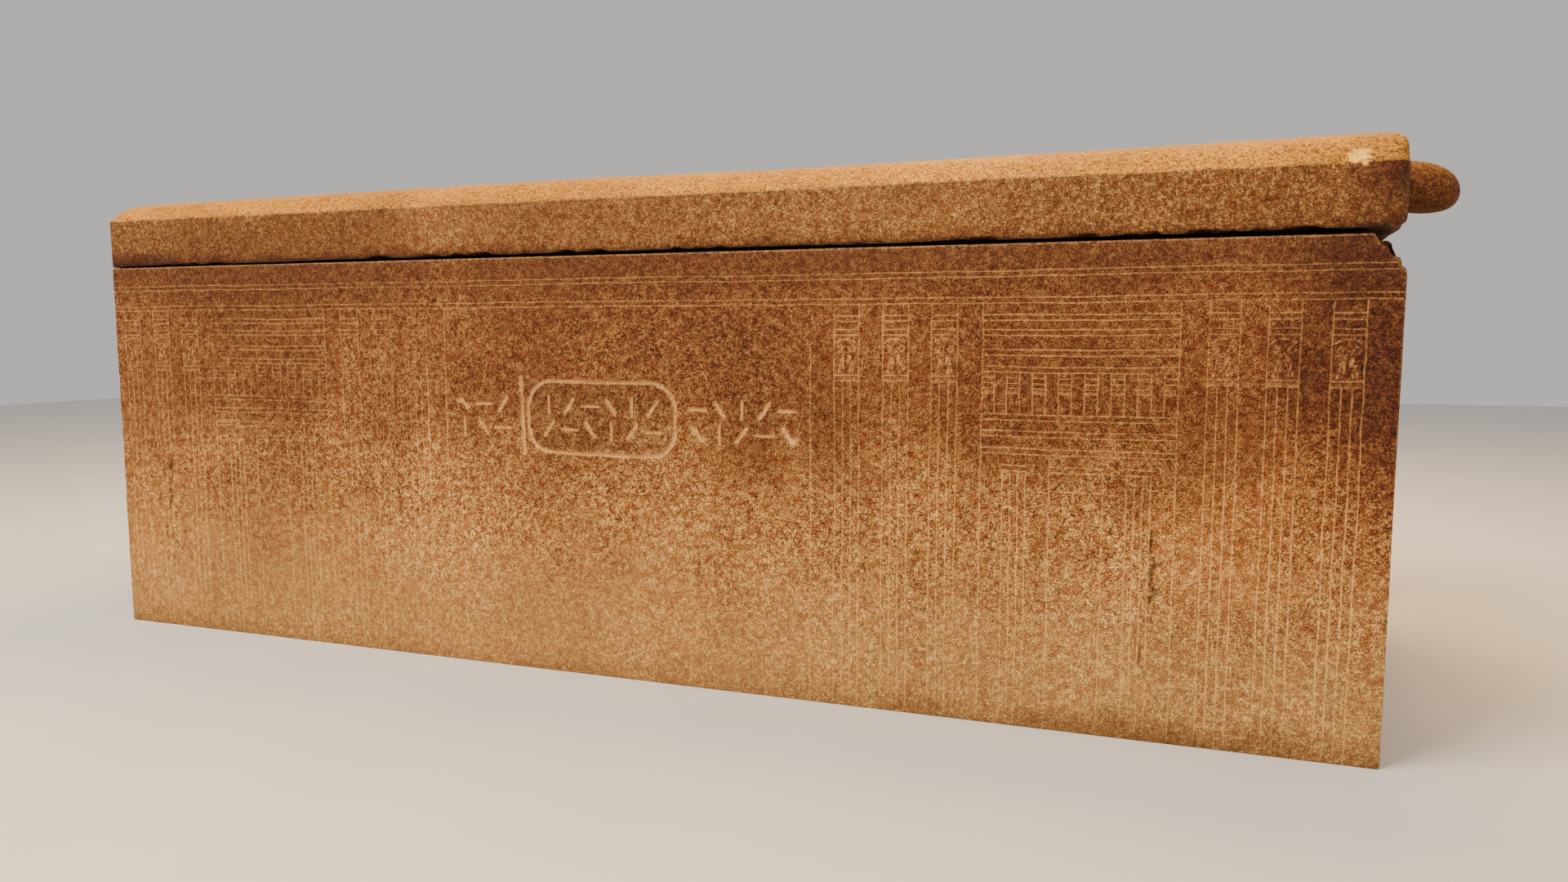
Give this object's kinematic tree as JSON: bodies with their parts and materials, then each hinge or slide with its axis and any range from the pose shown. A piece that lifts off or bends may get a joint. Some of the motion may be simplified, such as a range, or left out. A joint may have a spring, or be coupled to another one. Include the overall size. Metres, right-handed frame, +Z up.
{
  "type": "stone sarcophagus",
  "caption": "Oblong granite coffin with a carved palace front, hollow inside, under a loose vaulted lid with lifting bosses on its ends.",
  "frame": {"origin": "middle of the coffer's underside, on the floor", "axes": "+X along the length, towards the right as the carved front is faced; +Y towards the back; +Z up"},
  "size_m": [2.7234, 0.96, 0.9721],
  "materials": {
    "granite_coffer": "ground red-brown granite, smooth but worn, with shallow pale incised lines",
    "granite_lid": "pecked golden-brown granite, matt, with worn arrises"
  },
  "bodies": {
    "root": {"coffer": "granite_coffer", "lid": "granite_lid"}
  },
  "joints": []
}
